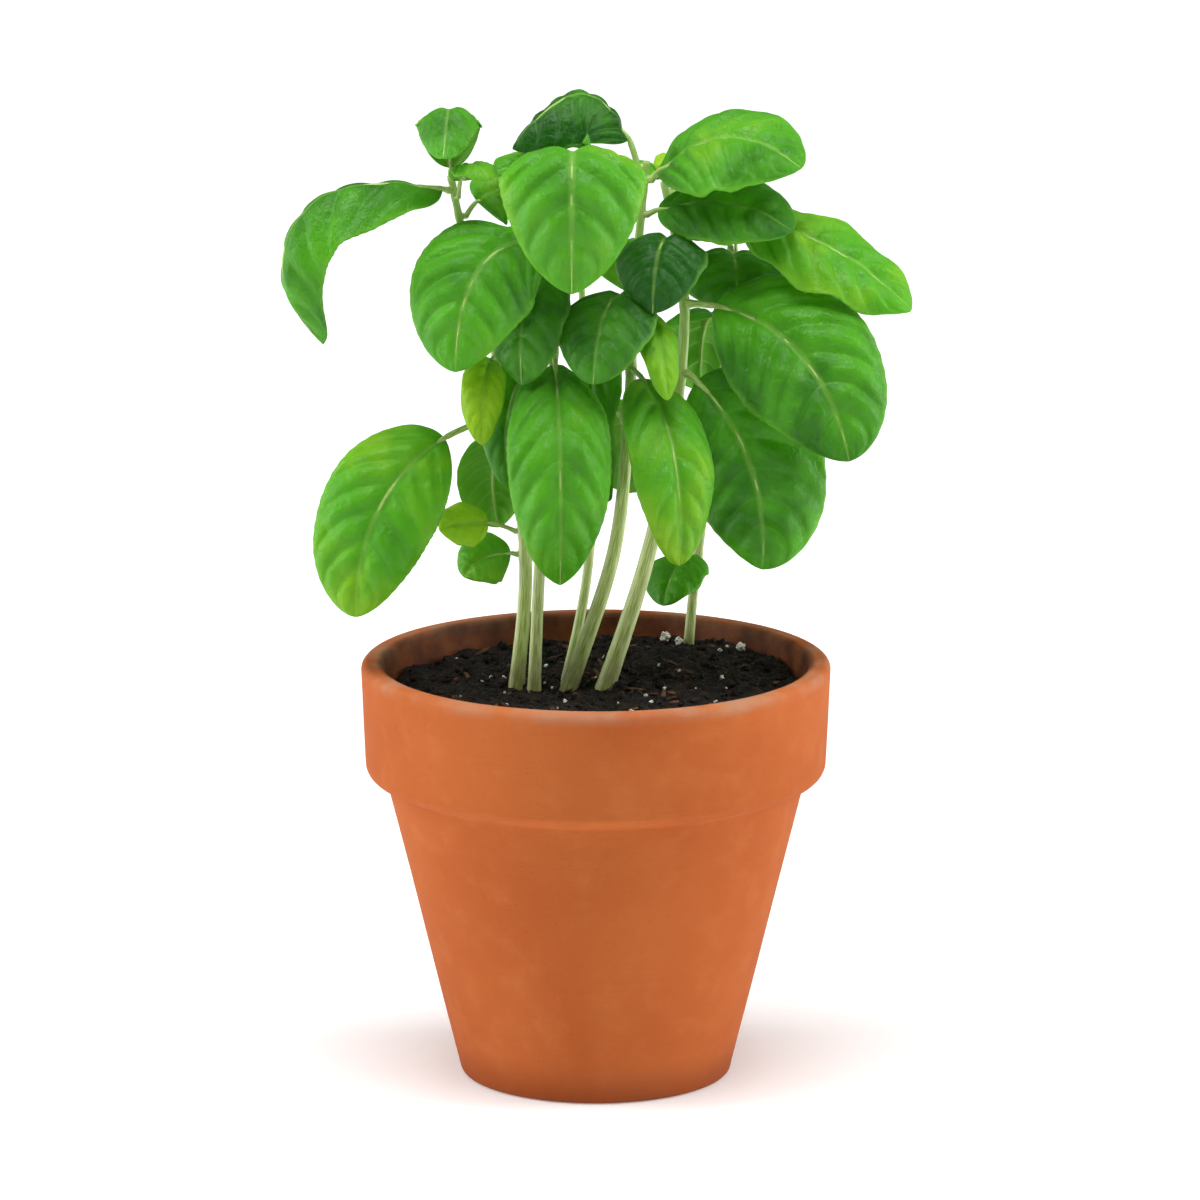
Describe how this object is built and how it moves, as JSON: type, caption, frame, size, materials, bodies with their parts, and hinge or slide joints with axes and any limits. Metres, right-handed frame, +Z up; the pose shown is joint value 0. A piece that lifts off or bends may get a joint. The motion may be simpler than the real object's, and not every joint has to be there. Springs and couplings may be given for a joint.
{
  "type": "potted basil plant",
  "caption": "Bushy basil plant with broad, puckered green leaves on upright stems, growing in a round banded terracotta pot filled with dark soil.",
  "frame": {"origin": "centre of the pot's foot, on the surface that the pot stands on", "axes": "+Z up from the foot through the pot's axis; -Y towards the plant's front, with +X to its right seen from there"},
  "size_m": [0.2125, 0.1612, 0.3385],
  "materials": {
    "terracotta": "matte",
    "soil": "matte",
    "perlite": "matte",
    "stem": "satin",
    "leaf": "satin",
    "young_leaf": "satin"
  },
  "bodies": {
    "root": {"bud_left": "young_leaf", "bud_right": "young_leaf", "bud_top": "young_leaf", "leaf_back_far_right": "leaf", "leaf_back_left": "leaf", "leaf_back_left_low": "leaf", "leaf_back_left_top": "leaf", "leaf_back_low_right": "leaf", "leaf_back_middle": "leaf", "leaf_back_right_low": "leaf", "leaf_back_right_top": "leaf", "leaf_back_top": "leaf", "leaf_back_top_right": "leaf", "leaf_back_upper_left": "leaf", "leaf_centre_front": "leaf", "leaf_centre_left": "leaf", "leaf_centre_mid": "leaf", "leaf_centre_pale": "leaf", "leaf_centre_right": "leaf", "leaf_centre_shaded": "leaf", "leaf_centre_young": "young_leaf", "leaf_far_left": "leaf", "leaf_left_bud": "young_leaf", "leaf_left_hanging": "leaf", "leaf_left_inner": "leaf", "leaf_left_low": "leaf", "leaf_left_lowest": "leaf", "leaf_left_round": "leaf", "leaf_left_young": "young_leaf", "leaf_right_big": "leaf", "leaf_right_dark": "leaf", "leaf_right_inner": "leaf", "leaf_right_long": "leaf", "leaf_right_low": "leaf", "leaf_right_lowest": "leaf", "leaf_right_shaded": "leaf", "leaf_top_dome": "leaf", "leaf_top_left": "young_leaf", "leaf_top_left_inner": "leaf", "leaf_top_left_low": "young_leaf", "leaf_top_right": "leaf", "leaf_upper_left": "leaf", "perlite_1": "perlite", "perlite_2": "perlite", "perlite_3": "perlite", "perlite_4": "perlite", "pot": "terracotta", "soil": "soil", "stem_back": "stem", "stem_back_right": "stem", "stem_centre": "stem", "stem_left": "stem", "stem_mid_left": "stem", "stem_right": "stem"}
  },
  "joints": []
}
